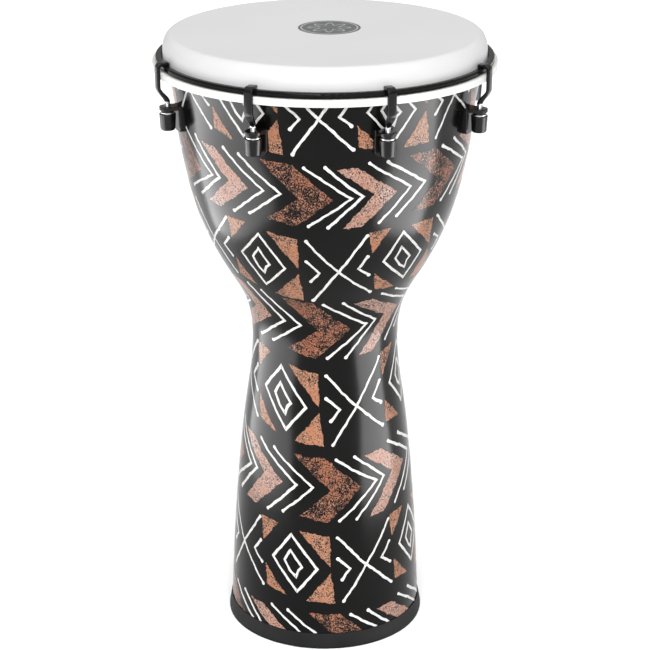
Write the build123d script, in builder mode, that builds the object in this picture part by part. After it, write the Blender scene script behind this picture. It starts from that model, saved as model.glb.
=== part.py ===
from build123d import *
from math import cos, radians, sin
import os

os.makedirs("parts", exist_ok=True)

# A goblet drum with a 12 inch synthetic head. Millimetres, +Z up, the ground at z = 0, and the
# drum's axis at X = Y = 0. The front of the drum faces -Y. Radial places are distances from the axis.

# Head and hoops
HEAD_TOP = 643.0  # playing surface
HEAD_FLAT_RADIUS = 152.4  # flat part of the playing surface
FILM = 0.5  # thickness of the head film
COLLAR_RADIUS = 162.5  # outside of the collar below the shoulder
COLLAR_TOP = 628.0  # where the shoulder turns into the straight collar
FLESH_HOOP_RADIUS = 173.0
FLESH_HOOP_INNER = 161.1
FLESH_HOOP_BOTTOM = 608.5
FLESH_HOOP_TOP = 615.8
CHANNEL_WALL = 0.8  # folded channel of the flesh hoop
RESIN_GAP = 0.5  # the potting bead lies this far below the channel's rim
FILM_EMBEDDED_TO = 611.6  # the film's edge inside the potting bead
COUNTER_HOOP_INNER = 163.4
COUNTER_HOOP_OUTER = 170.0
COUNTER_HOOP_HEIGHT = 5.7
COUNTER_HOOP_EDGE = 1.8
BADGE_RADIUS = 31.5
BADGE_THICKNESS = 0.2
BADGE_CENTRE = (4.0, 12.0)

# Shell: (radius, height) points of the outside, from the foot to the waist, up the bowl and to the rim
FOOT_HEIGHT = 3.0  # the shell's lower edge rests on this much rubber
STEM = [(102.0, FOOT_HEIGHT), (98.6, 85.0), (91.9, 175.0), (83.5, 250.0), (76.3, 322.0)]
BOWL = [
    STEM[-1],
    (85.4, 370.0),
    (102.5, 400.0),
    (125.1, 445.0),
    (138.0, 485.0),
    (146.7, 527.0),
    (149.6, 550.0),
]
LUG_BAND = [BOWL[-1], (152.8, 580.0), (157.4, 604.0)]  # one arc, which carries the brackets
RIM = [(160.5, 619.0), (160.5, COLLAR_TOP)]
BOWL_END_SLOPE = (0.09, 1.0)  # direction of the outline where the bowl meets the lug band
FOOT_SLOPE = (-0.03, 1.0)  # direction of the outline at the foot
SHELL_WALL = 6.0  # measured horizontally
RIM_BORE_RADIUS = 143.5  # straight bore inside the thick rim
BEARING_EDGE_GAP = 0.4  # film to shell at the bearing edge
BEARING_EDGE_LAND = 1.4  # flat width on top of the bearing edge, inside which it slopes down at 45 degrees

# Foot ring
FOOT_RING_RADIUS = 105.2
FOOT_RING_SHOULDER = 4.0  # the outer face is upright up to here, and leans in above
FOOT_RING_TOP_RADIUS = 102.6
FOOT_RING_HEIGHT = 17.0
FOOT_RING_INNER = 93.0
FOOT_RING_LIP_HEIGHT = 12.0
FOOT_RING_EDGE = 1.4
FOOT_RING_TOP_EDGE = 0.6

# Lugs: eight around the drum, the front two on either side of the front
LUGS = 8
FIRST_LUG_ANGLE = -67.5
LUG_ANGLES = [FIRST_LUG_ANGLE + number * 360.0 / LUGS for number in range(LUGS)]
ROD_PLACE = 165.7  # radial place of the threaded rod's axis
ROD_RADIUS = 2.95  # M6
ROD_END = 561.2
ROD_CHAMFER = 0.6
NECK_BOTTOM = 585.4  # where the forged neck meets the threaded rod
SHANK_PLACE = 174.8  # middle of the hook's flat shank
SHANK_BOTTOM = 599.2
BAR_WIDTH = 8.6
BAR_THICKNESS = 3.5
BAR_EDGE = 0.8
CLAW_TIP = 163.8
CLAW_BEND = 4.0
LOWER_NECK = (168.2, 590.0)  # places of two sections in the leaning part of the neck
UPPER_NECK = (172.7, 595.4)
LOWER_NECK_SIZE = (4.8, 6.6)  # across the bar, and round the drum
UPPER_NECK_SIZE = (3.9, 8.1)
NECK_LEAN = 31.0  # from the vertical, in degrees
NECK_BOTTOM_CORNER = 2.8  # nearly round
LOWER_NECK_CORNER = 1.7
UPPER_NECK_CORNER = 1.0

# Brackets
TAB_BOTTOM = 577.0
TAB_THICKNESS = 3.8
TAB_RADIUS = 8.1  # round end of the tab, about the rod
TAB_EDGE = 0.6
TAB_HOLE_RADIUS = 3.4
BOSS_RADIUS = 6.4
BOSS_HEIGHT = 1.0
LEG_FACE = 156.0  # radial place of the leg's outer face
LEG_BACK = 147.0  # the leg starts here before it is cut to the shell's curve
LEG_WIDTH = 18.0
LEG_BOTTOM = 554.4
LEG_LOWER_CORNER = 5.0
BRACKET_EDGE = 0.8

# Bracket screws, M5, put in from inside the shell
SCREW_HEIGHTS = (560.2, 572.8)
SCREW_RADIUS = 2.5
SCREW_HOLE_RADIUS = 2.75
SCREW_SEAT_PLACE = 143.8  # flat spot-faced seat in the shell
SCREW_SEAT_RADIUS = 5.9
SCREW_TIP_PLACE = 155.0
SCREW_HEAD_RADIUS = 4.3
SCREW_HEAD_HEIGHT = 3.0
SOCKET_RADIUS = 1.7
SOCKET_DEPTH = 2.0
PLAIN_WASHER_RADIUS = 5.3
PLAIN_WASHER_THICKNESS = 1.0

# Tuning nuts and their caps
HOOK_WASHER_RADIUS = 6.4
HOOK_WASHER_BORE = 3.3
HOOK_WASHER_THICKNESS = 1.0
THRUST_GAP = 0.1  # between washer and nut flange
NUT_BORE_RADIUS = 3.0
NUT_FLANGE_RADIUS = 7.0
NUT_FLANGE_THICKNESS = 1.1
NUT_ACROSS_FLATS = 10.0
NUT_HEX_HEIGHT = 6.0
CAP_TOP_RADIUS = 8.3
CAP_BOTTOM_RADIUS = 7.3
CAP_HEIGHT = 17.1
CAP_EDGE = 2.2
CAP_RIM_EDGE = 0.6
CAP_BORE_RADIUS = 3.6
CAP_FLOOR = 2.9

DRILL_LENGTH = 30.0  # cuts right through whatever is drilled

# Worked out from the above
FILM_BOTTOM = HEAD_TOP - FILM
BEARING_EDGE_TOP = FILM_BOTTOM - BEARING_EDGE_GAP
SHOULDER_REACH = COLLAR_RADIUS - HEAD_FLAT_RADIUS
SHOULDER_DROP = HEAD_TOP - COLLAR_TOP
COUNTER_HOOP_TOP = FLESH_HOOP_TOP + COUNTER_HOOP_HEIGHT
CLAW_HEIGHT = COUNTER_HOOP_TOP + BAR_THICKNESS / 2
TAB_TOP = TAB_BOTTOM + TAB_THICKNESS
BOSS_BOTTOM = TAB_BOTTOM - BOSS_HEIGHT
WASHER_BOTTOM = BOSS_BOTTOM - HOOK_WASHER_THICKNESS
NUT_TOP = WASHER_BOTTOM - THRUST_GAP
CAP_TOP = NUT_TOP - NUT_FLANGE_THICKNESS
CAP_BOTTOM = CAP_TOP - CAP_HEIGHT
ROD_AXIS = Axis((ROD_PLACE, 0, 0), (0, 0, 1))


def write_part(part, name):
    """Label one finished piece and write it."""
    part.label = name
    export_step(part, f"parts/{name}.step")


def write_at_lugs(part, name):
    """Write one numbered copy of a lug piece at each lug, turned about the drum's axis."""
    for number, angle in enumerate(LUG_ANGLES, start=1):
        with BuildPart() as placed:
            add(part, rotation=(0, 0, angle))
        write_part(placed.part, f"{name}_{number}")


def screw_planes(place):
    """Planes facing outward at every bracket screw, at one distance from the drum's axis."""
    planes = []
    for angle in LUG_ANGLES:
        outward = Vector(cos(radians(angle)), sin(radians(angle)), 0)
        for height in SCREW_HEIGHTS:
            planes.append(Plane(origin=outward * place + Vector(0, 0, height), z_dir=outward))
    return planes


# ---- shell ----

rim_reach = RIM[-1][0] - HEAD_FLAT_RADIUS
rim_rise = BEARING_EDGE_TOP - COLLAR_TOP
land_edge = HEAD_FLAT_RADIUS - BEARING_EDGE_LAND
inner_stem = [(radius - SHELL_WALL, height) for radius, height in STEM]
inner_bowl = [(radius - SHELL_WALL, height) for radius, height in BOWL]

# The shell as if it were filled, which also cuts the backs of the brackets
with BuildPart() as envelope:
    with BuildSketch(Plane.XZ):
        with BuildLine():
            Spline(*STEM, tangents=(FOOT_SLOPE, (0, 1)))
            Spline(*BOWL, tangents=((0, 1), BOWL_END_SLOPE))
            ThreePointArc(*LUG_BAND)
            Polyline(LUG_BAND[-1], *RIM)
            EllipticalCenterArc((HEAD_FLAT_RADIUS, COLLAR_TOP), rim_reach, rim_rise, 0, arc_size=90)
            Polyline(
                (HEAD_FLAT_RADIUS, BEARING_EDGE_TOP),
                (land_edge, BEARING_EDGE_TOP),
                (RIM_BORE_RADIUS, BEARING_EDGE_TOP - (land_edge - RIM_BORE_RADIUS)),
                (0, BEARING_EDGE_TOP - (land_edge - RIM_BORE_RADIUS)),
                (0, FOOT_HEIGHT),
                STEM[0],
            )
        make_face()
    revolve(axis=Axis.Z)

with BuildPart() as shell:
    add(envelope.part)
    with BuildSketch(Plane.XZ):
        with BuildLine():
            Spline(*inner_stem, tangents=(FOOT_SLOPE, (0, 1)))
            Spline(*inner_bowl, tangents=((0, 1), BOWL_END_SLOPE))
            Polyline(
                inner_bowl[-1],
                (RIM_BORE_RADIUS, inner_bowl[-1][1]),
                (RIM_BORE_RADIUS, BEARING_EDGE_TOP),
                (0, BEARING_EDGE_TOP),
                (0, FOOT_HEIGHT),
                inner_stem[0],
            )
        make_face()
    revolve(axis=Axis.Z, mode=Mode.SUBTRACT)
    with Locations(*screw_planes(SCREW_SEAT_PLACE)):
        Cylinder(SCREW_HOLE_RADIUS, DRILL_LENGTH, mode=Mode.SUBTRACT)
    with Locations(*screw_planes(SCREW_SEAT_PLACE - SHELL_WALL / 2)):
        Cylinder(SCREW_SEAT_RADIUS, SHELL_WALL, mode=Mode.SUBTRACT)
write_part(shell.part, "shell")

# ---- foot ring: a rubber channel pushed onto the shell's lower edge ----

shell_edge_middle = STEM[0][0] - SHELL_WALL / 2

with BuildPart() as foot_ring:
    with BuildSketch(Plane.XZ):
        with BuildLine():
            Polyline(
                (FOOT_RING_INNER, 0),
                (FOOT_RING_RADIUS, 0),
                (FOOT_RING_RADIUS, FOOT_RING_SHOULDER),
                (FOOT_RING_TOP_RADIUS, FOOT_RING_HEIGHT),
                (shell_edge_middle, FOOT_RING_HEIGHT),
                (shell_edge_middle, FOOT_RING_LIP_HEIGHT),
                (FOOT_RING_INNER, FOOT_RING_LIP_HEIGHT),
                close=True,
            )
        make_face()
    revolve(axis=Axis.Z)
    rims = foot_ring.edges().filter_by(GeomType.CIRCLE)
    fillet(rims.group_by(SortBy.RADIUS)[-1].sort_by(Axis.Z)[0], FOOT_RING_EDGE)
    rims = foot_ring.edges().filter_by(GeomType.CIRCLE)
    fillet(rims.group_by(Axis.Z)[-1].sort_by(SortBy.RADIUS)[-1], FOOT_RING_TOP_EDGE)
    add(shell.part, mode=Mode.SUBTRACT)
write_part(foot_ring.part, "foot_ring")


# ---- head: film, flesh hoop, potting bead, counter hoop and badge ----

with BuildPart() as drumhead:
    with BuildSketch(Plane.XZ):
        with BuildLine():
            centre = (HEAD_FLAT_RADIUS, COLLAR_TOP)
            Line((0, HEAD_TOP), (HEAD_FLAT_RADIUS, HEAD_TOP))
            EllipticalCenterArc(centre, SHOULDER_REACH, SHOULDER_DROP, 0, arc_size=90)
            Polyline(
                (COLLAR_RADIUS, COLLAR_TOP),
                (COLLAR_RADIUS, FILM_EMBEDDED_TO),
                (COLLAR_RADIUS - FILM, FILM_EMBEDDED_TO),
                (COLLAR_RADIUS - FILM, COLLAR_TOP),
            )
            EllipticalCenterArc(centre, SHOULDER_REACH - FILM, SHOULDER_DROP - FILM, 0, arc_size=90)
            Polyline((HEAD_FLAT_RADIUS, FILM_BOTTOM), (0, FILM_BOTTOM), (0, HEAD_TOP))
        make_face()
    revolve(axis=Axis.Z)
write_part(drumhead.part, "drumhead")

# A folded channel, open at the top
with BuildPart() as flesh_hoop:
    with BuildSketch(Plane.XY.offset(FLESH_HOOP_BOTTOM)):
        Circle(FLESH_HOOP_RADIUS)
        Circle(FLESH_HOOP_INNER, mode=Mode.SUBTRACT)
    extrude(amount=FLESH_HOOP_TOP - FLESH_HOOP_BOTTOM)
    lower_edges = flesh_hoop.edges().group_by(Axis.Z)[0]
    fillet(lower_edges, CHANNEL_WALL)
    with BuildSketch(Plane.XY.offset(FLESH_HOOP_BOTTOM + CHANNEL_WALL)):
        Circle(FLESH_HOOP_RADIUS - CHANNEL_WALL)
        Circle(FLESH_HOOP_INNER + CHANNEL_WALL, mode=Mode.SUBTRACT)
    extrude(amount=FLESH_HOOP_TOP - FLESH_HOOP_BOTTOM, mode=Mode.SUBTRACT)
write_part(flesh_hoop.part, "flesh_hoop")

with BuildPart() as hoop_resin:
    with BuildSketch(Plane.XY.offset(FLESH_HOOP_BOTTOM + CHANNEL_WALL)):
        Circle(FLESH_HOOP_RADIUS - CHANNEL_WALL)
        Circle(FLESH_HOOP_INNER + CHANNEL_WALL, mode=Mode.SUBTRACT)
    extrude(amount=FLESH_HOOP_TOP - FLESH_HOOP_BOTTOM - CHANNEL_WALL - RESIN_GAP)
    add(drumhead.part, mode=Mode.SUBTRACT)
write_part(hoop_resin.part, "hoop_resin")

with BuildPart() as counter_hoop:
    with BuildSketch(Plane.XY.offset(FLESH_HOOP_TOP)):
        Circle(COUNTER_HOOP_OUTER)
        Circle(COUNTER_HOOP_INNER, mode=Mode.SUBTRACT)
    extrude(amount=COUNTER_HOOP_HEIGHT)
    fillet(counter_hoop.edges().filter_by(GeomType.CIRCLE), COUNTER_HOOP_EDGE)
write_part(counter_hoop.part, "counter_hoop")

with BuildPart() as head_badge:
    with BuildSketch(Plane.XY.offset(HEAD_TOP)):
        with Locations(BADGE_CENTRE):
            Circle(BADGE_RADIUS)
    extrude(amount=BADGE_THICKNESS)
write_part(head_badge.part, "head_badge")


# ---- tuning hook: flat bar over the hoop, forged neck and threaded rod ----

# Sections of the neck: place and height, lean, size across and round the drum, corner radius
neck_sections = [
    ((ROD_PLACE, NECK_BOTTOM), 0, (2 * ROD_RADIUS, 2 * ROD_RADIUS), NECK_BOTTOM_CORNER),
    (LOWER_NECK, NECK_LEAN, LOWER_NECK_SIZE, LOWER_NECK_CORNER),
    (UPPER_NECK, NECK_LEAN, UPPER_NECK_SIZE, UPPER_NECK_CORNER),
    ((SHANK_PLACE, SHANK_BOTTOM), 0, (BAR_THICKNESS, BAR_WIDTH), BAR_EDGE),
]

with BuildPart() as tuning_hook:
    with BuildSketch(Plane.XZ):
        with BuildLine():
            FilletPolyline(
                (CLAW_TIP, CLAW_HEIGHT),
                (SHANK_PLACE, CLAW_HEIGHT),
                (SHANK_PLACE, SHANK_BOTTOM),
                radius=CLAW_BEND,
            )
        trace(line_width=BAR_THICKNESS)
    extrude(amount=BAR_WIDTH / 2, both=True)
    bar_edges = tuning_hook.edges().filter_by_position(
        Axis.Z, SHANK_BOTTOM, HEAD_TOP, inclusive=(False, True)
    )
    fillet(bar_edges, BAR_EDGE)
    for (place, height), lean, (across, around), corner in neck_sections:
        up = Vector(0, 0, 1).rotate(Axis.Y, lean)
        outward = Vector(1, 0, 0).rotate(Axis.Y, lean)
        with BuildSketch(Plane((place, 0, height), x_dir=outward, z_dir=up)):
            RectangleRounded(across, around, corner)
    loft()
    with BuildSketch(Plane.XY.offset(ROD_END)):
        with Locations((ROD_PLACE, 0)):
            Circle(ROD_RADIUS)
    extrude(amount=NECK_BOTTOM - ROD_END)
    chamfer(tuning_hook.edges().group_by(Axis.Z)[0], ROD_CHAMFER)
write_at_lugs(tuning_hook.part, "tuning_hook")


# ---- bracket: leg curved to the shell, and a tab that takes the rod ----

with BuildPart() as bracket:
    with BuildSketch(Plane.YZ.offset(LEG_BACK)):
        with Locations((0, (LEG_BOTTOM + TAB_TOP) / 2)):
            Rectangle(LEG_WIDTH, TAB_TOP - LEG_BOTTOM)
    extrude(amount=LEG_FACE - LEG_BACK)
    fillet(bracket.edges().filter_by(Axis.X).group_by(Axis.Z)[0], LEG_LOWER_CORNER)
    fillet(bracket.faces().sort_by(Axis.X)[-1].edges(), BRACKET_EDGE)
    with BuildSketch(Plane.XY.offset(TAB_BOTTOM)):
        with Locations(((LEG_BACK + ROD_PLACE) / 2, 0)):
            Rectangle(ROD_PLACE - LEG_BACK, 2 * TAB_RADIUS)
        with Locations((ROD_PLACE, 0)):
            Circle(TAB_RADIUS)
    extrude(amount=TAB_THICKNESS)
    round_ends = bracket.edges().filter_by(GeomType.CIRCLE).filter_by(Plane.XY)
    fillet(round_ends, TAB_EDGE)
    with BuildSketch(Plane.XY.offset(TAB_BOTTOM)):
        with Locations((ROD_PLACE, 0)):
            Circle(BOSS_RADIUS)
    extrude(amount=-BOSS_HEIGHT)
    with Locations((ROD_PLACE, 0, TAB_BOTTOM)):
        Cylinder(TAB_HOLE_RADIUS, DRILL_LENGTH, mode=Mode.SUBTRACT)
    for height in SCREW_HEIGHTS:
        with Locations(Plane(origin=(LEG_BACK, 0, height), z_dir=(1, 0, 0))):
            Cylinder(
                SCREW_RADIUS,
                SCREW_TIP_PLACE - LEG_BACK,
                align=(Align.CENTER, Align.CENTER, Align.MIN),
                mode=Mode.SUBTRACT,
            )
    add(envelope.part, mode=Mode.SUBTRACT)
write_at_lugs(bracket.part, "bracket")


# ---- bracket screws and plain washers, on the inside of the shell ----

head_base = SCREW_SEAT_PLACE - PLAIN_WASHER_THICKNESS

with BuildPart() as bracket_screws:
    outward_from_head = (Align.CENTER, Align.CENTER, Align.MIN)
    inward_from_head = (Align.CENTER, Align.CENTER, Align.MAX)
    with Locations(*screw_planes(head_base)):
        Cylinder(SCREW_RADIUS, SCREW_TIP_PLACE - head_base, align=outward_from_head)
        Cylinder(SCREW_HEAD_RADIUS, SCREW_HEAD_HEIGHT, align=inward_from_head)
    with Locations(*screw_planes(head_base - SCREW_HEAD_HEIGHT)):
        Cylinder(SOCKET_RADIUS, SOCKET_DEPTH, align=outward_from_head, mode=Mode.SUBTRACT)
write_part(bracket_screws.part, "bracket_screws")

with BuildPart() as bracket_washers:
    with Locations(*screw_planes(head_base)):
        Cylinder(PLAIN_WASHER_RADIUS, PLAIN_WASHER_THICKNESS, align=outward_from_head)
        Cylinder(
            SCREW_HOLE_RADIUS, PLAIN_WASHER_THICKNESS, align=outward_from_head, mode=Mode.SUBTRACT
        )
write_part(bracket_washers.part, "bracket_washers")

with BuildPart() as hook_washers:
    with PolarLocations(ROD_PLACE, LUGS, start_angle=FIRST_LUG_ANGLE):
        with Locations((0, 0, WASHER_BOTTOM)):
            Cylinder(HOOK_WASHER_RADIUS, HOOK_WASHER_THICKNESS, align=outward_from_head)
            Cylinder(
                HOOK_WASHER_BORE, HOOK_WASHER_THICKNESS, align=outward_from_head, mode=Mode.SUBTRACT
            )
write_part(hook_washers.part, "hook_washers")


# ---- tuning nut and its cap ----

with BuildPart() as tuning_nut:
    with BuildSketch(Plane.XY.offset(CAP_TOP - NUT_HEX_HEIGHT)):
        with Locations((ROD_PLACE, 0)):
            RegularPolygon(NUT_ACROSS_FLATS / 2, 6, major_radius=False)
    extrude(amount=NUT_HEX_HEIGHT)
    with BuildSketch(Plane.XY.offset(CAP_TOP)):
        with Locations((ROD_PLACE, 0)):
            Circle(NUT_FLANGE_RADIUS)
    extrude(amount=NUT_FLANGE_THICKNESS)
    with Locations((ROD_PLACE, 0, CAP_TOP)):
        Cylinder(NUT_BORE_RADIUS, DRILL_LENGTH, mode=Mode.SUBTRACT)
write_at_lugs(tuning_nut.part, "tuning_nut")

with BuildPart() as nut_cap:
    with BuildSketch(Plane.XZ):
        with BuildLine():
            Polyline(
                (ROD_PLACE, CAP_TOP),
                (ROD_PLACE + CAP_TOP_RADIUS, CAP_TOP),
                (ROD_PLACE + CAP_BOTTOM_RADIUS, CAP_BOTTOM),
                (ROD_PLACE, CAP_BOTTOM),
                close=True,
            )
        make_face()
    revolve(axis=ROD_AXIS)
    rims = nut_cap.edges().filter_by(GeomType.CIRCLE).sort_by(Axis.Z)
    fillet(rims[0], CAP_EDGE)
    fillet(rims[-1], CAP_RIM_EDGE)
    with BuildSketch(Plane.XY.offset(CAP_TOP)):
        with Locations((ROD_PLACE, 0)):
            RegularPolygon(NUT_ACROSS_FLATS / 2, 6, major_radius=False)
    extrude(amount=-NUT_HEX_HEIGHT, mode=Mode.SUBTRACT)
    with BuildSketch(Plane.XY.offset(CAP_TOP)):
        with Locations((ROD_PLACE, 0)):
            Circle(CAP_BORE_RADIUS)
    extrude(amount=CAP_FLOOR - CAP_HEIGHT, mode=Mode.SUBTRACT)
write_at_lugs(nut_cap.part, "nut_cap")
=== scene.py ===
import math
import random

import bpy
import numpy as np
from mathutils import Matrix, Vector, geometry


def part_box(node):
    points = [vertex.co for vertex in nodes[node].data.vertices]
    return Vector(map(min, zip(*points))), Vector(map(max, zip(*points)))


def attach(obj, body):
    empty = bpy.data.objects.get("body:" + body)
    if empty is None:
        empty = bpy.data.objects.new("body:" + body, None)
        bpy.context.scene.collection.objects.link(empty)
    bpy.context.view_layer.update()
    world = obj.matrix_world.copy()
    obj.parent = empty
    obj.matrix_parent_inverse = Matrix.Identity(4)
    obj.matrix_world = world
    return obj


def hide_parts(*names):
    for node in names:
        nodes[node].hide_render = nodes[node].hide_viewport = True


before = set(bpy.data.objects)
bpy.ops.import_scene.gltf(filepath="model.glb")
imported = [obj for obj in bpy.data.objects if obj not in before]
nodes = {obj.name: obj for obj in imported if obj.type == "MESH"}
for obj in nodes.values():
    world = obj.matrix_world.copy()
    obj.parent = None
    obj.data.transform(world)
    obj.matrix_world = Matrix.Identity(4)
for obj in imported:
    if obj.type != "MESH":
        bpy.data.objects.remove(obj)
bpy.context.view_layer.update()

# A 12 inch djembe: black lacquered shell with a printed film, white head, black hoop and hooks.
# Lengths are in metres. The print, laid out on its flat film, and the hook's sections are in
# millimetres and are turned into metres as they are placed.

MM = 0.001
LUGS = 8
FRONT = math.radians(-90)  # the drum's front faces -Y
VIEW_TURN = math.radians(1.6)  # the camera stands this far round to the right of the front
FIRST_LUG = math.radians(-67.5)
SEAM_TOLERANCE = 1e-6
FACING = 0.1  # least outward or inward part of a wall vertex's normal
scene = bpy.context.scene


# ---------------------------------------------------------------- measures from the frame

def seam_outline(node, outward):
    """(height, radius) rows of a round node's outer or inner wall, from its +X seam's vertices."""
    rows = {}
    side = 1 if outward else -1
    for vertex in nodes[node].data.vertices:
        x, y, z = vertex.co
        if abs(y) < SEAM_TOLERANCE and x > 0 and side * vertex.normal.x > FACING:
            rows[round(z, 6)] = x
    return sorted(rows.items())


class SmoothOutline:
    """Natural cubic curve through (height, radius) rows."""

    def __init__(self, rows):
        self.z = np.array([row[0] for row in rows])
        self.r = np.array([row[1] for row in rows])
        step = np.diff(self.z)
        rise = np.diff(self.r) / step
        system = np.eye(len(rows))
        right = np.zeros(len(rows))
        for i in range(1, len(rows) - 1):
            system[i, i - 1] = step[i - 1]
            system[i, i] = 2 * (step[i - 1] + step[i])
            system[i, i + 1] = step[i]
            right[i] = 6 * (rise[i] - rise[i - 1])
        self.bend = np.linalg.solve(system, right)

    def __call__(self, z):
        z = min(max(z, self.z[0]), self.z[-1])
        i = min(max(int(np.searchsorted(self.z, z)) - 1, 0), len(self.z) - 2)
        step = self.z[i + 1] - self.z[i]
        a = (self.z[i + 1] - z) / step
        b = 1 - a
        bend = ((a**3 - a) * self.bend[i] + (b**3 - b) * self.bend[i + 1]) * step**2 / 6
        return a * self.r[i] + b * self.r[i + 1] + bend


_, foot_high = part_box("foot_ring")
hoop_low, hoop_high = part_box("flesh_hoop")
badge_low, badge_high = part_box("head_badge")

RIM_HEIGHT = hoop_high.z + 2 * MM  # the shell above this is hidden by the head
wall_rows = seam_outline("shell", True)
outside_rows = [row for row in wall_rows if row[0] < RIM_HEIGHT]
rim_rows = [row for row in wall_rows if row[0] >= RIM_HEIGHT]
inside_rows = seam_outline("shell", False)
outside = SmoothOutline(outside_rows)


# ---------------------------------------------------------------- mesh helpers

def new_object(name, verts, faces, materials, face_slots=None, sharp=35, smooth=True):
    """A mesh object with smooth shading that breaks at edges sharper than `sharp` degrees."""
    mesh = bpy.data.meshes.new(name)
    mesh.from_pydata([tuple(v) for v in verts], [], faces)
    for material in materials:
        mesh.materials.append(material)
    if face_slots is not None:
        mesh.polygons.foreach_set("material_index", face_slots)
    mesh.validate()
    mesh.update()
    if smooth:
        mesh.shade_smooth()
        mesh.set_sharp_from_angle(angle=math.radians(sharp))
    piece = bpy.data.objects.new(name, mesh)
    scene.collection.objects.link(piece)
    return piece


def lathe(name, outline, segments, slots, materials):
    """A closed body of revolution about the drum's axis from a closed (radius, height) outline.

    slots holds the material slot of each outline edge.
    """
    verts = []
    faces = []
    face_slots = []
    count = len(outline)
    for k in range(segments):
        turn = math.tau * k / segments
        for radius, height in outline:
            verts.append((radius * math.cos(turn), radius * math.sin(turn), height))
    for k in range(segments):
        here = k * count
        there = (k + 1) % segments * count
        for i in range(count):
            j = (i + 1) % count
            faces.append((here + i, there + i, there + j, here + j))
            face_slots.append(slots[i])
    return new_object(name, verts, faces, materials, face_slots)


# ---------------------------------------------------------------- materials

def new_material(name):
    """A node material; returns it with its node tree and its principled shader."""
    material = bpy.data.materials.new(name)
    material.use_nodes = True
    tree = material.node_tree
    shader = tree.nodes["Principled BSDF"]
    return material, tree, shader


def place_coordinates(tree, scale=(1, 1, 1)):
    """Object coordinates, stretched."""
    coordinates = tree.nodes.new("ShaderNodeTexCoord")
    mapping = tree.nodes.new("ShaderNodeMapping")
    mapping.inputs["Scale"].default_value = scale
    tree.links.new(coordinates.outputs["Object"], mapping.inputs["Vector"])
    return mapping.outputs["Vector"]


def noise(tree, vector, scale, detail, roughness=0.5, distortion=0.0):
    """A noise texture's value; scale is in features a metre."""
    node = tree.nodes.new("ShaderNodeTexNoise")
    node.inputs["Scale"].default_value = scale
    node.inputs["Detail"].default_value = detail
    node.inputs["Roughness"].default_value = roughness
    node.inputs["Distortion"].default_value = distortion
    tree.links.new(vector, node.inputs["Vector"])
    return node.outputs["Fac"]


def ramp(tree, value, stops):
    """A colour ramp between two (place, colour) stops."""
    node = tree.nodes.new("ShaderNodeValToRGB")
    for element, (place, colour) in zip(node.color_ramp.elements, stops):
        element.position = place
        element.color = (*colour, 1)
    tree.links.new(value, node.inputs["Fac"])
    return node.outputs["Color"]


def clouded(tree, shader, value, low, high, span=(0.3, 0.7)):
    """Base colour that goes from one colour to another as a value crosses a span."""
    colour = ramp(tree, value, [(span[0], low), (span[1], high)])
    tree.links.new(colour, shader.inputs["Base Color"])


def mixed(tree, factor, first, second):
    """A colour socket mixed towards a second colour by a factor socket."""
    node = tree.nodes.new("ShaderNodeMix")
    node.data_type = "RGBA"
    tree.links.new(factor, node.inputs[0])
    tree.links.new(first, node.inputs[6])
    node.inputs[7].default_value = (*second, 1)
    return node.outputs[2]


def remap(tree, value, low, high, to_low=0.0, to_high=1.0):
    """A value's range mapped onto another, clamped."""
    node = tree.nodes.new("ShaderNodeMapRange")
    node.inputs["From Min"].default_value = low
    node.inputs["From Max"].default_value = high
    node.inputs["To Min"].default_value = to_low
    node.inputs["To Max"].default_value = to_high
    tree.links.new(value, node.inputs["Value"])
    return node.outputs["Result"]


def calculate(tree, operation, *values):
    """One math node's result from sockets or numbers."""
    node = tree.nodes.new("ShaderNodeMath")
    node.operation = operation
    for socket, value in zip(node.inputs, values):
        if isinstance(value, bpy.types.NodeSocket):
            tree.links.new(value, socket)
        else:
            socket.default_value = value
    return node.outputs[0]


def bump(tree, shader, height, distance):
    """Bump from a height socket, `distance` metres deep, onto the shader's normal."""
    node = tree.nodes.new("ShaderNodeBump")
    node.inputs["Strength"].default_value = 1.0
    node.inputs["Distance"].default_value = distance
    tree.links.new(height, node.inputs["Height"])
    tree.links.new(node.outputs["Normal"], shader.inputs["Normal"])


LACQUER_IOR = 1.22
LACQUER_ROUGHNESS = 0.2


def lacquered(shader):
    """The shell's clear lacquer, the same over the ground and the print."""
    shader.inputs["IOR"].default_value = LACQUER_IOR
    shader.inputs["Roughness"].default_value = LACQUER_ROUGHNESS


def shell_black():
    """The film's black ground, faintly uneven, under the lacquer."""
    material, tree, shader = new_material("shell_black")
    vector = place_coordinates(tree)
    cloud = noise(tree, vector, 14, 2)
    clouded(tree, shader, cloud, (0.0015, 0.0013, 0.0012), (0.0030, 0.0027, 0.0025), (0.35, 0.7))
    lacquered(shader)
    bump(tree, shader, noise(tree, vector, 160, 2), 0.00004)
    return material


def shell_inside():
    """The raw moulded inside, with fibres drawn out upwards."""
    material, tree, shader = new_material("shell_inside")
    vector = place_coordinates(tree, (1, 1, 0.35))
    fibre = noise(tree, vector, 420, 6, 0.7, 1.5)
    clouded(tree, shader, fibre, (0.012, 0.012, 0.012), (0.05, 0.048, 0.045), (0.3, 0.75))
    shader.inputs["Roughness"].default_value = 0.75
    bump(tree, shader, fibre, 0.0004)
    return material


def print_white():
    """The film's white lines, slightly thin in places."""
    material, tree, shader = new_material("print_white")
    vector = place_coordinates(tree)
    cover = noise(tree, vector, 260, 4, 0.6)
    clouded(tree, shader, cover, (0.50, 0.492, 0.48), (0.64, 0.635, 0.625), (0.3, 0.62))
    lacquered(shader)
    return material


STIPPLE_PER_METRE = 740
PATCHES_PER_METRE = 60
FLECK_SOFTNESS = 0.025  # half the range of the grain over which a fleck fades in


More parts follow.
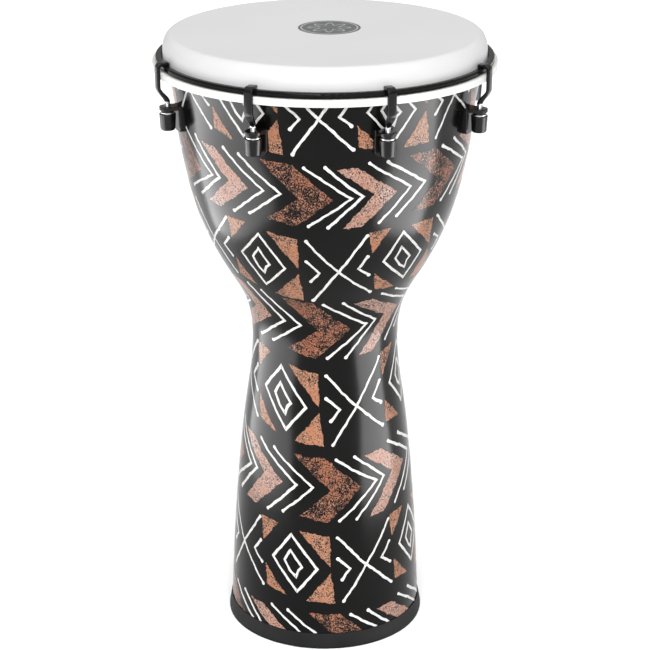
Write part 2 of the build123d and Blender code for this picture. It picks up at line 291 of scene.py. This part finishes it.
def print_copper(name, light, warm, dark, coverage, patchiness):
    """Dry-brushed copper: a warm ground broken by fine dark flecks.

    coverage is how much is dark, and patchiness how far that differs from place to place.
    """
    material, tree, shader = new_material(name)
    vector = place_coordinates(tree)
    tone = ramp(tree, noise(tree, vector, PATCHES_PER_METRE, 3, 0.6), [(0.38, warm), (0.62, light)])
    grain = noise(tree, vector, STIPPLE_PER_METRE, 4, 0.8)
    patches = noise(tree, vector, PATCHES_PER_METRE, 5, 0.75)
    uneven = remap(tree, patches, 0.32, 0.68, -patchiness, patchiness)
    height = calculate(tree, "ADD", grain, uneven)
    bare = 1 - coverage
    flecks = remap(tree, height, bare - FLECK_SOFTNESS, bare + FLECK_SOFTNESS)
    tree.links.new(mixed(tree, flecks, tone, dark), shader.inputs["Base Color"])
    lacquered(shader)
    return material


def head_film():
    """White coated film with a very fine tooth."""
    material, tree, shader = new_material("head_film")
    vector = place_coordinates(tree)
    clouded(tree, shader, noise(tree, vector, 9, 3), (0.50, 0.503, 0.5), (0.52, 0.522, 0.52))
    shader.inputs["Roughness"].default_value = 0.55
    bump(tree, shader, noise(tree, vector, 1400, 2), 0.00003)
    return material


def white_coat():
    """The flesh hoop's white coat."""
    material, tree, shader = new_material("white_coat")
    vector = place_coordinates(tree)
    clouded(tree, shader, noise(tree, vector, 40, 3), (0.60, 0.6, 0.595), (0.64, 0.64, 0.635))
    shader.inputs["Roughness"].default_value = 0.35
    return material


ORANGE_PEEL = 0.00003


def black_coat(name, roughness, shine):
    """Black powder coat with a fine orange-peel surface."""
    material, tree, shader = new_material(name)
    vector = place_coordinates(tree)
    cloud = noise(tree, vector, 120, 3)
    clouded(tree, shader, cloud, (0.0022, 0.0022, 0.0024), (0.0045, 0.0045, 0.0048))
    shader.inputs["Roughness"].default_value = roughness
    shader.inputs["Specular IOR Level"].default_value = shine
    bump(tree, shader, noise(tree, vector, 1100, 2), ORANGE_PEEL)
    return material


def bright_zinc():
    """Bright zinc plate with fine level streaks."""
    material, tree, shader = new_material("bright_zinc")
    vector = place_coordinates(tree, (1, 1, 6))
    streaks = noise(tree, vector, 500, 3)
    clouded(tree, shader, streaks, (0.5, 0.51, 0.52), (0.7, 0.71, 0.72))
    shader.inputs["Metallic"].default_value = 1.0
    tree.links.new(remap(tree, streaks, 0.3, 0.7, 0.2, 0.36), shader.inputs["Roughness"])
    return material


def foot_rubber():
    """Matte moulded rubber."""
    material, tree, shader = new_material("foot_rubber")
    vector = place_coordinates(tree)
    grain = noise(tree, vector, 900, 3)
    cloud = noise(tree, vector, 30, 4)
    clouded(tree, shader, cloud, (0.006, 0.006, 0.0065), (0.011, 0.011, 0.0115))
    tree.links.new(remap(tree, grain, 0.3, 0.7, 0.5, 0.65), shader.inputs["Roughness"])
    shader.inputs["Specular IOR Level"].default_value = 0.1
    bump(tree, shader, grain, 0.00005)
    return material


# The badge's pale marks, as parts of its radius
BADGE_EDGE_RING = 0.9
BADGE_RING_HALF_WIDTH = 0.022
ROSETTE_HALF_WIDTH = 1.6 * BADGE_RING_HALF_WIDTH
ROSETTE_PETALS = 8
ROSETTE_MEAN = 0.5
ROSETTE_SWING = 0.16
BADGE_PALE = (0.36, 0.365, 0.36)


def badge_grey():
    """A grey printed disc with a pale ring near its edge and a plain eight-petalled rosette."""
    material, tree, shader = new_material("badge_grey")
    vector = place_coordinates(tree)
    cloud = noise(tree, vector, 300, 3)
    ground = ramp(tree, cloud, [(0.3, (0.085, 0.088, 0.088)), (0.7, (0.11, 0.114, 0.114))])
    split = tree.nodes.new("ShaderNodeSeparateXYZ")
    tree.links.new(vector, split.inputs[0])
    middle = (badge_low + badge_high) / 2
    radius = (badge_high.x - badge_low.x) / 2
    x = calculate(tree, "DIVIDE", calculate(tree, "SUBTRACT", split.outputs[0], middle.x), radius)
    y = calculate(tree, "DIVIDE", calculate(tree, "SUBTRACT", split.outputs[1], middle.y), radius)
    y_squared = calculate(tree, "MULTIPLY", y, y)
    reach = calculate(tree, "SQRT", calculate(tree, "MULTIPLY_ADD", x, x, y_squared))
    turn = calculate(tree, "ARCTAN2", y, x)
    wave = calculate(tree, "COSINE", calculate(tree, "MULTIPLY", turn, ROSETTE_PETALS))
    petal = calculate(tree, "MULTIPLY_ADD", wave, ROSETTE_SWING, ROSETTE_MEAN)
    on_ring = calculate(tree, "COMPARE", reach, BADGE_EDGE_RING, BADGE_RING_HALF_WIDTH)
    on_petal = calculate(tree, "COMPARE", reach, petal, ROSETTE_HALF_WIDTH)
    marks = calculate(tree, "MAXIMUM", on_ring, on_petal)
    tree.links.new(mixed(tree, marks, ground, BADGE_PALE), shader.inputs["Base Color"])
    shader.inputs["Roughness"].default_value = 0.5
    return material


def resin():
    """The cast bead in the flesh hoop."""
    material, tree, shader = new_material("hoop_resin")
    vector = place_coordinates(tree)
    clouded(tree, shader, noise(tree, vector, 80, 3), (0.62, 0.6, 0.55), (0.72, 0.7, 0.65))
    shader.inputs["Roughness"].default_value = 0.6
    return material


SHELL_BLACK = shell_black()
SHELL_INSIDE = shell_inside()
PRINT_WHITE = print_white()
COPPER_DARK = print_copper(
    "print_copper_dark",
    light=(0.42, 0.215, 0.145), warm=(0.29, 0.115, 0.066), dark=(0.006, 0.004, 0.0035),
    coverage=0.54, patchiness=0.085,
)
COPPER_LIGHT = print_copper(
    "print_copper_light",
    light=(0.45, 0.29, 0.235), warm=(0.36, 0.19, 0.135), dark=(0.022, 0.012, 0.009),
    coverage=0.47, patchiness=0.06,
)
COPPER_TAN = print_copper(
    "print_copper_tan",
    light=(0.40, 0.215, 0.14), warm=(0.34, 0.15, 0.085), dark=(0.014, 0.008, 0.006),
    coverage=0.475, patchiness=0.08,
)
HEAD_FILM = head_film()
WHITE_COAT = white_coat()
HOOP_BLACK = black_coat("hoop_black", roughness=0.12, shine=0.11)
HOOK_BLACK = black_coat("hook_black", roughness=0.2, shine=0.24)
CAP_BLACK = black_coat("cap_black", roughness=0.27, shine=0.22)
BRIGHT_ZINC = bright_zinc()
FOOT_RUBBER = foot_rubber()
BADGE_GREY = badge_grey()
RESIN = resin()


def repaint(node, material):
    """Give a CAD node that is kept its own finish."""
    for slot in nodes[node].material_slots:
        slot.material = material


repaint("foot_ring", FOOT_RUBBER)
repaint("drumhead", HEAD_FILM)
repaint("flesh_hoop", WHITE_COAT)
repaint("hoop_resin", RESIN)
repaint("counter_hoop", HOOP_BLACK)
repaint("head_badge", BADGE_GREY)
repaint("bracket_screws", BRIGHT_ZINC)
repaint("bracket_washers", BRIGHT_ZINC)
repaint("hook_washers", HOOK_BLACK)
for number in range(1, LUGS + 1):
    repaint(f"bracket_{number}", HOOK_BLACK)
    repaint(f"tuning_nut_{number}", BRIGHT_ZINC)
    repaint(f"nut_cap_{number}", CAP_BLACK)


# ---------------------------------------------------------------- shell

ROW_STEP = 2.5 * MM
SHELL_SEGMENTS = 288


def make_shell():
    """The shell as one fine closed mesh on the CAD outlines, lacquered outside and raw inside."""
    low, high = outside_rows[0][0], outside_rows[-1][0]
    rows = round((high - low) / ROW_STEP)
    outline = []
    for i in range(rows + 1):
        z = low + (high - low) * i / rows
        outline.append((outside(z), z))
    outline += [(r, z) for z, r in rim_rows]
    outside_count = len(outline) - 1
    outline += [(r, z) for z, r in reversed(inside_rows)]
    slots = [0] * outside_count + [1] * (len(outline) - outside_count)
    shell = lathe("shell_body_skin", outline, SHELL_SEGMENTS, slots, [SHELL_BLACK, SHELL_INSIDE])
    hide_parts("shell")
    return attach(shell, "shell_body")


make_shell()


# ---------------------------------------------------------------- print

# Flat film, in millimetres: x runs round to the right from the line that faces the camera, y up.
PERIOD = 150.0
REPEATS = range(-4, 5)  # enough to reach the film's join, opposite the camera
SMILE_AXIS = math.radians(4)
SMILE_LEAST = 10
SMILE_GROWTH = 0.05
SMILE_MOST = 27.0
PRINT_LOW = foot_high.z / MM - 2  # behind the foot ring
PRINT_HIGH = hoop_low.z / MM + 4  # behind the flesh hoop
INK = 0.12  # how far the print stands proud
SUNK = 0.35  # how far its closed solids reach into the shell
SETTLING_ROUNDS = 6
SEED = 7

# Each row's first motif, as (x, y), with how far a chevron's lower half is squeezed
CROSS_ROWS = [(-6.5, 594), (13, 429), (33, 267), (45, 92)]
CHEVRON_ROWS = [(7.5, 510, 0.86), (26, 352, 0.92), (39, 179, 1.0), (55, 4, 1.0)]

# Drawn about the crossing of the two long strokes
CROSS_STROKES = [
    [(-33, 36), (-2, 1), (35, -34)],
    [(30, 41), (3, 3), (-26, -40)],
    [(-33, 12), (-18, -2), (-28, -15)],
    [(31, 16), (20, 1), (33, -10)],
]
CROSS_DIAMONDS = [
    [(-81, 34), (-53, -1), (-75, -29), (-103, 4)],
    [(-82, 16), (-76, 8), (-69.5, -0.5), (-73.5, -4.5), (-76, -13), (-83, -6.5), (-89, 4)],
]
CROSS_PATCHES = [
    [(-72, 40), (-40, 36), (-39, 1)],
    [(-39, -5), (-34, -40), (-65, -38)],
    [(-119, 43), (-96, 43), (-116, 17)],
    [(-113, -8), (-87, -36), (-111, -31)],
]

# Drawn about the outer point of the dark chevron
DARK_CHEVRON = [(-72, 36), (-39, 35), (0, 0), (-36, -35), (-66, -30), (-33, 0)]
LIGHT_CHEVRON = [(3, 32), (24, 32.5), (65, 2), (28, -36), (10, -36), (41, 3)]
CHEVRON_STROKES = [
    [(-29, 34), (18, 1), (-25, -35)],
    [(-9, 35), (29, 2), (-6, -36)],
    [(34, 37), (81, 3), (45, -35)],
    [(53, 36), (99, 3), (64, -31)],
]


def smile(height):
    """How far a row of the film climbs a quarter of the way round from its lowest point."""
    return min(SMILE_LEAST + SMILE_GROWTH * height, SMILE_MOST)


def on_shell(x, y, lift):
    """A film point put on the shell, as (place in metres, whether it lies on the printed band)."""
    z = y
    for _ in range(SETTLING_ROUNDS):
        turn = min(max(x / (outside(z * MM) / MM), -math.pi), math.pi)
        z = y + smile(y) * (1 - math.cos(turn - SMILE_AXIS))
    inside_band = PRINT_LOW < z < PRINT_HIGH and abs(turn) < math.pi
    z = min(max(z, PRINT_LOW), PRINT_HIGH)
    radius = outside(z * MM) + lift * MM
    angle = FRONT + VIEW_TURN + turn
    return Vector((radius * math.cos(angle), radius * math.sin(angle), z * MM)), inside_band


WAVES = 4
WAVE_SHORTENING = 1.3
WAVE_FADING = 0.6


def wander(rng, size, longest):
    """A smooth hand-drawn wobble along a line, as a function of the distance."""
    waves = []
    for k in range(WAVES):
        length = longest / (1 + WAVE_SHORTENING * k)
        waves.append((length, rng.uniform(0, math.tau), size / (1 + WAVE_FADING * k)))
    return lambda d: sum(a * math.sin(math.tau * d / w + p) for w, p, a in waves)


SHARPEST_MITRE = 0.55  # cosine beyond which a corner is no longer widened


def corner_normals(points, closed):
    """The mitred sideways direction at each point of a line."""
    normals = []
    count = len(points)
    for i in range(count):
        before = points[i - 1] if closed or i > 0 else None
        after = points[(i + 1) % count] if closed or i < count - 1 else None
        legs = []
        for a, b in ((before, points[i]), (points[i], after)):
            if a is not None and b is not None:
                leg = Vector(b) - Vector(a)
                legs.append(Vector((-leg.y, leg.x)).normalized())
        side = sum(legs, Vector((0, 0)))
        side.normalize()
        normals.append(side / max(side.dot(legs[0]), SHARPEST_MITRE))
    return normals


STROKE_WIDTH = 2.5
WIDTH_SPREAD = (0.9, 1.1)
STROKE_STEP = 1.6
STROKE_END_STEP = 0.45
SHORTEST_STEP = 0.3 * STROKE_END_STEP  # no sample comes nearer to the next corner
BLOB_RADIUS = 1.8
BLOB_SPREAD = (0.88, 1.12)
BLOB_REACH = 2.4  # a free end is sampled closely this many blob radii along
BLOB_TAIL = 1.6  # and narrows to the line over this many
LEAST_HALF = 0.1  # half width at the very end
SWAY = (0.27, 46.0)  # size and longest wave of the wobble sideways
CLOSED_SWAY = 0.6  # share of it in a closed figure
SWELL = (0.1, 27.0)  # and of the wobble in width


def dense_line(points, closed, end_length):
    """(point, sideways, distance) samples along a line, and its length.

    Samples lie closer together near free ends.
    """
    normals = corner_normals(points, closed)
    samples = []
    distance = 0.0
    count = len(points)
    legs = count if closed else count - 1
    ends = [(Vector(points[i]), Vector(points[(i + 1) % count])) for i in range(legs)]
    total = sum((b - a).length for a, b in ends)
    for i, (a, b) in enumerate(ends):
        length = (b - a).length
        straight = Vector((-(b - a).y, (b - a).x)).normalized()
        t = 0.0
        while t < length - SHORTEST_STEP:
            side = normals[i] if t == 0 else straight
            samples.append((a + (b - a) * t / length, side, distance + t))
            near_end = not closed and min(distance + t, total - distance - t) < end_length
            t += STROKE_END_STEP if near_end else STROKE_STEP
        distance += length
    if not closed:
        samples.append((Vector(points[-1]), normals[-1], total))
    return samples, total


def stroke(points, closed, rng, verts, faces):
    """One painted line with round, slightly swollen ends, as a thin closed solid."""
    blob = BLOB_RADIUS * rng.uniform(*BLOB_SPREAD)
    base = STROKE_WIDTH / 2 * rng.uniform(*WIDTH_SPREAD)
    samples, total = dense_line(points, closed, BLOB_REACH * blob)
    sway = wander(rng, *SWAY)
    swell = wander(rng, *SWELL)
    runs = [[]]
    for place, side, distance in samples:
        half = base + swell(distance)
        if not closed:
            from_end = min(distance, total - distance)
            if from_end < blob:
                half = math.sqrt(max(blob**2 - (blob - from_end) ** 2, LEAST_HALF**2))
            else:
                tail = max(1 - (from_end - blob) / (BLOB_TAIL * blob), 0)
                half += (blob - half) * tail**2 * (3 - 2 * tail)
        middle = place + side * sway(distance) * (CLOSED_SWAY if closed else 1)
        ring = []
        shown = True
        for offset, lift in ((half, INK), (-half, INK), (-half, -SUNK), (half, -SUNK)):
            spot = middle + side * offset
            vertex, on_band = on_shell(spot.x, spot.y, lift)
            ring.append(vertex)
            shown = shown and on_band
        if shown:
            runs[-1].append(ring)
        elif runs[-1]:
            runs.append([])
    whole = closed and len(runs) == 1
    for run in runs:
        if len(run) < 3:
            continue
        start = len(verts)
        for ring in run:
            verts.extend(ring)
        links = len(run) if whole else len(run) - 1
        for i in range(links):
            here = start + 4 * i
            there = start + 4 * ((i + 1) % len(run))
            for k in range(4):
                n = (k + 1) % 4
                faces.append((here + k, here + n, there + n, there + k))
        if not whole:
            faces.append((start + 3, start + 2, start + 1, start))
            last = start + 4 * (len(run) - 1)
            faces.append((last, last + 1, last + 2, last + 3))


PATCH_GRID = 4.0
PATCH_EDGE_STEP = 1.1
PATCH_BOW = (0.45, 26.0)  # size and longest wave of a patch's wavering edge
PATCH_ROUGHNESS = 0.28
PATCH_MARGIN = 1.2  # least distance from the grid's points to the border's


def patch(points, rng, verts, faces):
    """One dry-brushed patch with slightly ragged edges, as a thin closed solid."""
    border = []
    count = len(points)
    for i in range(count):
        a, b = Vector(points[i]), Vector(points[(i + 1) % count])
        length = (b - a).length
        side = Vector((-(b - a).y, (b - a).x)).normalized()
        pieces = max(int(length / PATCH_EDGE_STEP), 2)
        bow = wander(rng, *PATCH_BOW)
        for k in range(pieces):
            t = k / pieces
            calm = min(1.0, 6 * min(t, 1 - t) + 0.15)  # the bow dies away towards the corners
            rough = bow(t * length) * calm + rng.uniform(-PATCH_ROUGHNESS, PATCH_ROUGHNESS)
            border.append(a + (b - a) * t + side * rough)
    xs = [p.x for p in border]
    ys = [p.y for p in border]
    inner = []
    y = min(ys) + PATCH_GRID / 2
    while y < max(ys):
        x = min(xs) + PATCH_GRID / 2
        while x < max(xs):
            spot = Vector((x, y))
            if clear_inside(spot, border, PATCH_MARGIN):
                inner.append(spot)
            x += PATCH_GRID
        y += PATCH_GRID
    edges = [(i, (i + 1) % len(border)) for i in range(len(border))]
    flat, _, triangles, _, _, _ = geometry.delaunay_2d_cdt(border + inner, edges, [], 1, 1e-5)
    flat = [Vector(p) for p in flat]
    top = []
    bottom = []
    shown = []
    for p in flat:
        upper, on_band = on_shell(p.x, p.y, INK)
        lower, _ = on_shell(p.x, p.y, -SUNK)
        top.append(upper)
        bottom.append(lower)
        shown.append(on_band)
    kept = [t for t in triangles if any(shown[i] for i in t)]
    if not kept:
        return
    used = sorted({i for t in kept for i in t})
    index = {i: n for n, i in enumerate(used)}
    start = len(verts)
    verts.extend(top[i] for i in used)
    verts.extend(bottom[i] for i in used)
    size = len(used)
    rim = {}
    for t in kept:
        a, b, c = (index[i] for i in t)
        faces.append((start + a, start + b, start + c))
        faces.append((start + size + c, start + size + b, start + size + a))
        rim.update(dict.fromkeys(((a, b), (b, c), (c, a))))
    for a, b in rim:
        if (b, a) not in rim:
            faces.append((start + b, start + a, start + size + a, start + size + b))


def clear_inside(spot, border, margin):
    """Whether a point lies inside a polygon and clear of its corners."""
    inside = False
    count = len(border)
    for i in range(count):
        a, b = border[i], border[(i + 1) % count]
        if (spot - a).length < margin:
            return False
        if (a.y > spot.y) != (b.y > spot.y):
            if spot.x < a.x + (b.x - a.x) * (spot.y - a.y) / (b.y - a.y):
                inside = not inside
    return inside


def shifted(points, x, y, lower=1.0):
    """Motif points moved to their row, with the lower half of the motif squeezed."""
    return [(x + px, y + py * (lower if py < 0 else 1)) for px, py in points]


def make_print():
    """All rows of the film, repeated round the drum."""
    rng = random.Random(SEED)
    white = ([], [])
    dark = ([], [])
    light = ([], [])
    tan = ([], [])
    for repeat in REPEATS:
        for x, y in CROSS_ROWS:
            at = x + repeat * PERIOD
            for line in CROSS_STROKES:
                stroke(shifted(line, at, y), False, rng, *white)
            for line in CROSS_DIAMONDS:
                stroke(shifted(line, at, y), True, rng, *white)
            for shape in CROSS_PATCHES:
                patch(shifted(shape, at, y), rng, *tan)
        for x, y, lower in CHEVRON_ROWS:
            at = x + repeat * PERIOD
            for line in CHEVRON_STROKES:
                stroke(shifted(line, at, y, lower), False, rng, *white)
            patch(shifted(DARK_CHEVRON, at, y, lower), rng, *dark)
            patch(shifted(LIGHT_CHEVRON, at, y, lower), rng, *light)
    for name, (verts, faces), material in (
        ("print_white_lines", white, PRINT_WHITE),
        ("print_dark_copper", dark, COPPER_DARK),
        ("print_light_copper", light, COPPER_LIGHT),
        ("print_tan_copper", tan, COPPER_TAN),
    ):
        piece = new_object(name, verts, faces, [material])
        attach(piece, "shell_body")


make_print()


# ---------------------------------------------------------------- tuning hooks

# Measured on the lug at angle zero, in millimetres: place from the drum's axis, and height.
# Each hook runs from the claw's tip over the bend, down the shank and the neck to the rod.
ROD_PLACE = 165.7
ROD_TOP = 585.4
ROD_END = 561.2
ROD_END_TAPER = 0.5
CREST_RADIUS = 2.93
ROOT_RADIUS = 2.5
PITCH = 1.0
RINGS_PER_PITCH = 6
CLAW_TIP = 163.8
CLAW_HEIGHT = 623.25
CLAW_BEND = 4.0
BEND_STEPS = 12
TIP_ROUNDING = 0.6
TIP_INSETS = (TIP_ROUNDING, 0.18, 0.0)
SHANK_PLACE = 174.8
BAR_HALF = (1.75, 4.3)  # half sizes across the bar and round the drum
BAR_CORNER = 0.8
RING_POINTS = 32
HOOK_SHARP = 50
# Down the neck the flat bar becomes the round rod: place, height, lean in degrees, half sizes
# across and round the drum, corner radius
NECK_SECTIONS = (
    (SHANK_PLACE, 600.6, 0, 1.75, 4.3, 0.8),
    (174.6, 599.0, -12, 1.75, 4.28, 0.8),
    (174.0, 597.5, -26, 1.85, 4.2, 0.85),
    (172.7, 595.4, -31, 1.95, 4.05, 1.0),
    (170.4, 592.6, -33, 2.15, 3.7, 1.3),
    (168.2, 590.0, -31, 2.4, 3.3, 1.7),
    (166.7, 587.9, -22, 2.65, 3.0, 2.3),
    (165.9, 586.2, -8, 2.85, 2.95, 2.8),
    (ROD_PLACE, ROD_TOP, 0, CREST_RADIUS, CREST_RADIUS, CREST_RADIUS),
)


def bar_ring(place, height, lean, half_across, half_round, corner):
    """One rounded rectangular section of the hook, leaning in the radial plane (0 is level)."""
    ring = []
    quarter = RING_POINTS // 4
    for k in range(RING_POINTS):
        turn = (k + 0.5) * math.tau / RING_POINTS
        side = 1 if k // quarter in (0, 3) else -1
        end = 1 if k // quarter in (0, 1) else -1
        across = side * (half_across - corner) + corner * math.cos(turn)
        around = end * (half_round - corner) + corner * math.sin(turn)
        ring.append((place + across * math.cos(lean), around, height + across * math.sin(lean)))
    return ring


def hook_rings():
    """Sections from the claw's tip to the rod's end, with the number of the first threaded one."""
    across, around = BAR_HALF
    upright = math.radians(90)
    rings = []
    for inset in TIP_INSETS:
        depth = TIP_ROUNDING - math.sqrt(TIP_ROUNDING**2 - (TIP_ROUNDING - inset) ** 2)
        sizes = (across - inset, around - inset, BAR_CORNER - inset / 2)
        rings.append(bar_ring(CLAW_TIP + depth, CLAW_HEIGHT, upright, *sizes))
    for step in range(BEND_STEPS + 1):
        turn = upright * (1 - step / BEND_STEPS)
        place = SHANK_PLACE - CLAW_BEND + CLAW_BEND * math.cos(turn)
        height = CLAW_HEIGHT - CLAW_BEND + CLAW_BEND * math.sin(turn)
        rings.append(bar_ring(place, height, turn, across, around, BAR_CORNER))
    for place, height, degrees, *sizes in NECK_SECTIONS:
        rings.append(bar_ring(place, height, math.radians(degrees), *sizes))
    first_thread = len(rings) - 1
    count = round((ROD_TOP - ROD_END) / PITCH * RINGS_PER_PITCH)
    for n in range(1, count + 1):
        height = ROD_TOP - (ROD_TOP - ROD_END) * n / count
        fade = min(n / RINGS_PER_PITCH, (count - n) / RINGS_PER_PITCH, 1)
        end_taper = ROD_END_TAPER * max(1 - (count - n) / RINGS_PER_PITCH, 0)
        ring = []
        for k in range(RING_POINTS):
            turn = (k + 0.5) * math.tau / RING_POINTS
            phase = (height / PITCH - turn / math.tau) % 1
            depth = (CREST_RADIUS - ROOT_RADIUS) * abs(2 * phase - 1) * fade
            radius = CREST_RADIUS - depth - end_taper
            ring.append((ROD_PLACE + radius * math.cos(turn), radius * math.sin(turn), height))
        rings.append(ring)
    return rings, first_thread


def make_hooks():
    """The eight hooks, coated down to the rod and bright along its thread."""
    rings, first_thread = hook_rings()
    faces = []
    slots = []
    for i in range(len(rings) - 1):
        for k in range(RING_POINTS):
            n = (k + 1) % RING_POINTS
            here, there = i * RING_POINTS, (i + 1) * RING_POINTS
            faces.append((here + k, there + k, there + n, here + n))
            slots.append(1 if i >= first_thread else 0)
    faces.append(tuple(range(RING_POINTS)))
    last = (len(rings) - 1) * RING_POINTS
    faces.append(tuple(last + k for k in reversed(range(RING_POINTS))))
    slots += [0, 1]
    for number in range(1, LUGS + 1):
        turn = FIRST_LUG + math.tau * (number - 1) / LUGS
        cosine, sine = math.cos(turn), math.sin(turn)
        verts = [(MM * (x * cosine - y * sine), MM * (x * sine + y * cosine), MM * z)
                 for ring in rings for x, y, z in ring]
        coats = [HOOK_BLACK, BRIGHT_ZINC]
        hook = new_object(f"hook_skin_{number}", verts, faces, coats, slots, HOOK_SHARP)
        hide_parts(f"tuning_hook_{number}")
        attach(hook, "head_assembly")


make_hooks()


# ---------------------------------------------------------------- stage, lights and camera

# The two cards stand this far from the drum's axis and this high, aimed at a point on it
CARD_DISTANCE = 0.7
CARD_HEIGHT = 0.12
CARD_AIM_HEIGHT = 0.9
CARD_DEPTH = 0.6


def low_card(name, azimuth, width, radiance):
    """A soft card low beside the drum, leaning towards it, seen only in glossy reflections.

    Its azimuth is in degrees, to the right from the camera's side.
    """
    turn = FRONT + VIEW_TURN + math.radians(azimuth)
    data = bpy.data.lights.new(name, "AREA")
    data.shape = "RECTANGLE"
    data.size = width
    data.size_y = CARD_DEPTH
    data.energy = radiance * math.pi * width * CARD_DEPTH
    lamp = bpy.data.objects.new(name, data)
    lamp.location = (CARD_DISTANCE * math.cos(turn), CARD_DISTANCE * math.sin(turn), CARD_HEIGHT)
    to_drum = Vector((0, 0, CARD_AIM_HEIGHT)) - lamp.location
    lamp.rotation_euler = to_drum.to_track_quat("-Z", "Y").to_euler()
    lamp.visible_camera = False
    lamp.visible_diffuse = False
    scene.collection.objects.link(lamp)


FLOOR_HALF = 14


def make_floor():
    """A wide plain pale floor."""
    material, tree, shader = new_material("pale_floor")
    vector = place_coordinates(tree)
    clouded(tree, shader, noise(tree, vector, 2, 3), (0.93, 0.93, 0.93), (0.95, 0.95, 0.95))
    shader.inputs["Roughness"].default_value = 1.0
    shader.inputs["Specular IOR Level"].default_value = 0.0
    verts = [(FLOOR_HALF * x, FLOOR_HALF * y, 0) for x, y in ((-1, -1), (1, -1), (1, 1), (-1, 1))]
    floor = new_object("floor", verts, [(0, 1, 2, 3)], [material], smooth=False)


WORLD_STRENGTH = 0.4


def make_world():
    """Even white light from all sides."""
    world = bpy.data.worlds.new("studio")
    scene.world = world
    world.use_nodes = True
    tree = world.node_tree
    background = tree.nodes["Background"]
    background.inputs["Color"].default_value = (1, 1, 1, 1)
    background.inputs["Strength"].default_value = WORLD_STRENGTH


def soft_sun(name, azimuth, elevation, strength, spread):
    """A wide soft sun standing over an azimuth from the camera's side, in degrees."""
    data = bpy.data.lights.new(name, "SUN")
    data.energy = strength
    data.angle = math.radians(spread)
    lamp = bpy.data.objects.new(name, data)
    lamp.rotation_euler = (math.radians(90 - elevation), 0, VIEW_TURN + math.radians(azimuth))
    scene.collection.objects.link(lamp)


def make_lights():
    """A wide frontal light, a wider one overhead, and a card for each broad side reflection."""
    soft_sun("front_softbox", azimuth=0, elevation=35, strength=3.8, spread=50)
    soft_sun("overhead_softbox", azimuth=0, elevation=88, strength=1.25, spread=90)
    low_card("left_card", azimuth=-82, width=1.0, radiance=8.6)
    low_card("right_card", azimuth=70, width=0.55, radiance=13.5)


CAMERA_DISTANCE = 2.017
CAMERA_HEIGHT = 1.094
CAMERA_PITCH = math.radians(20.79)
LENS = 113.5
SENSOR = 36


def make_camera():
    """The photograph's viewpoint, level from side to side and looking down at the drum."""
    data = bpy.data.cameras.new("camera")
    data.lens = LENS
    data.sensor_width = SENSOR
    camera = bpy.data.objects.new("camera", data)
    side = math.sin(VIEW_TURN) * CAMERA_DISTANCE
    back = math.cos(VIEW_TURN) * CAMERA_DISTANCE
    camera.location = (side, -back, CAMERA_HEIGHT)
    camera.rotation_euler = (math.pi / 2 - CAMERA_PITCH, 0, VIEW_TURN)
    scene.collection.objects.link(camera)
    scene.camera = camera


make_floor()
make_world()
make_lights()
make_camera()
scene.view_settings.view_transform = "Standard"
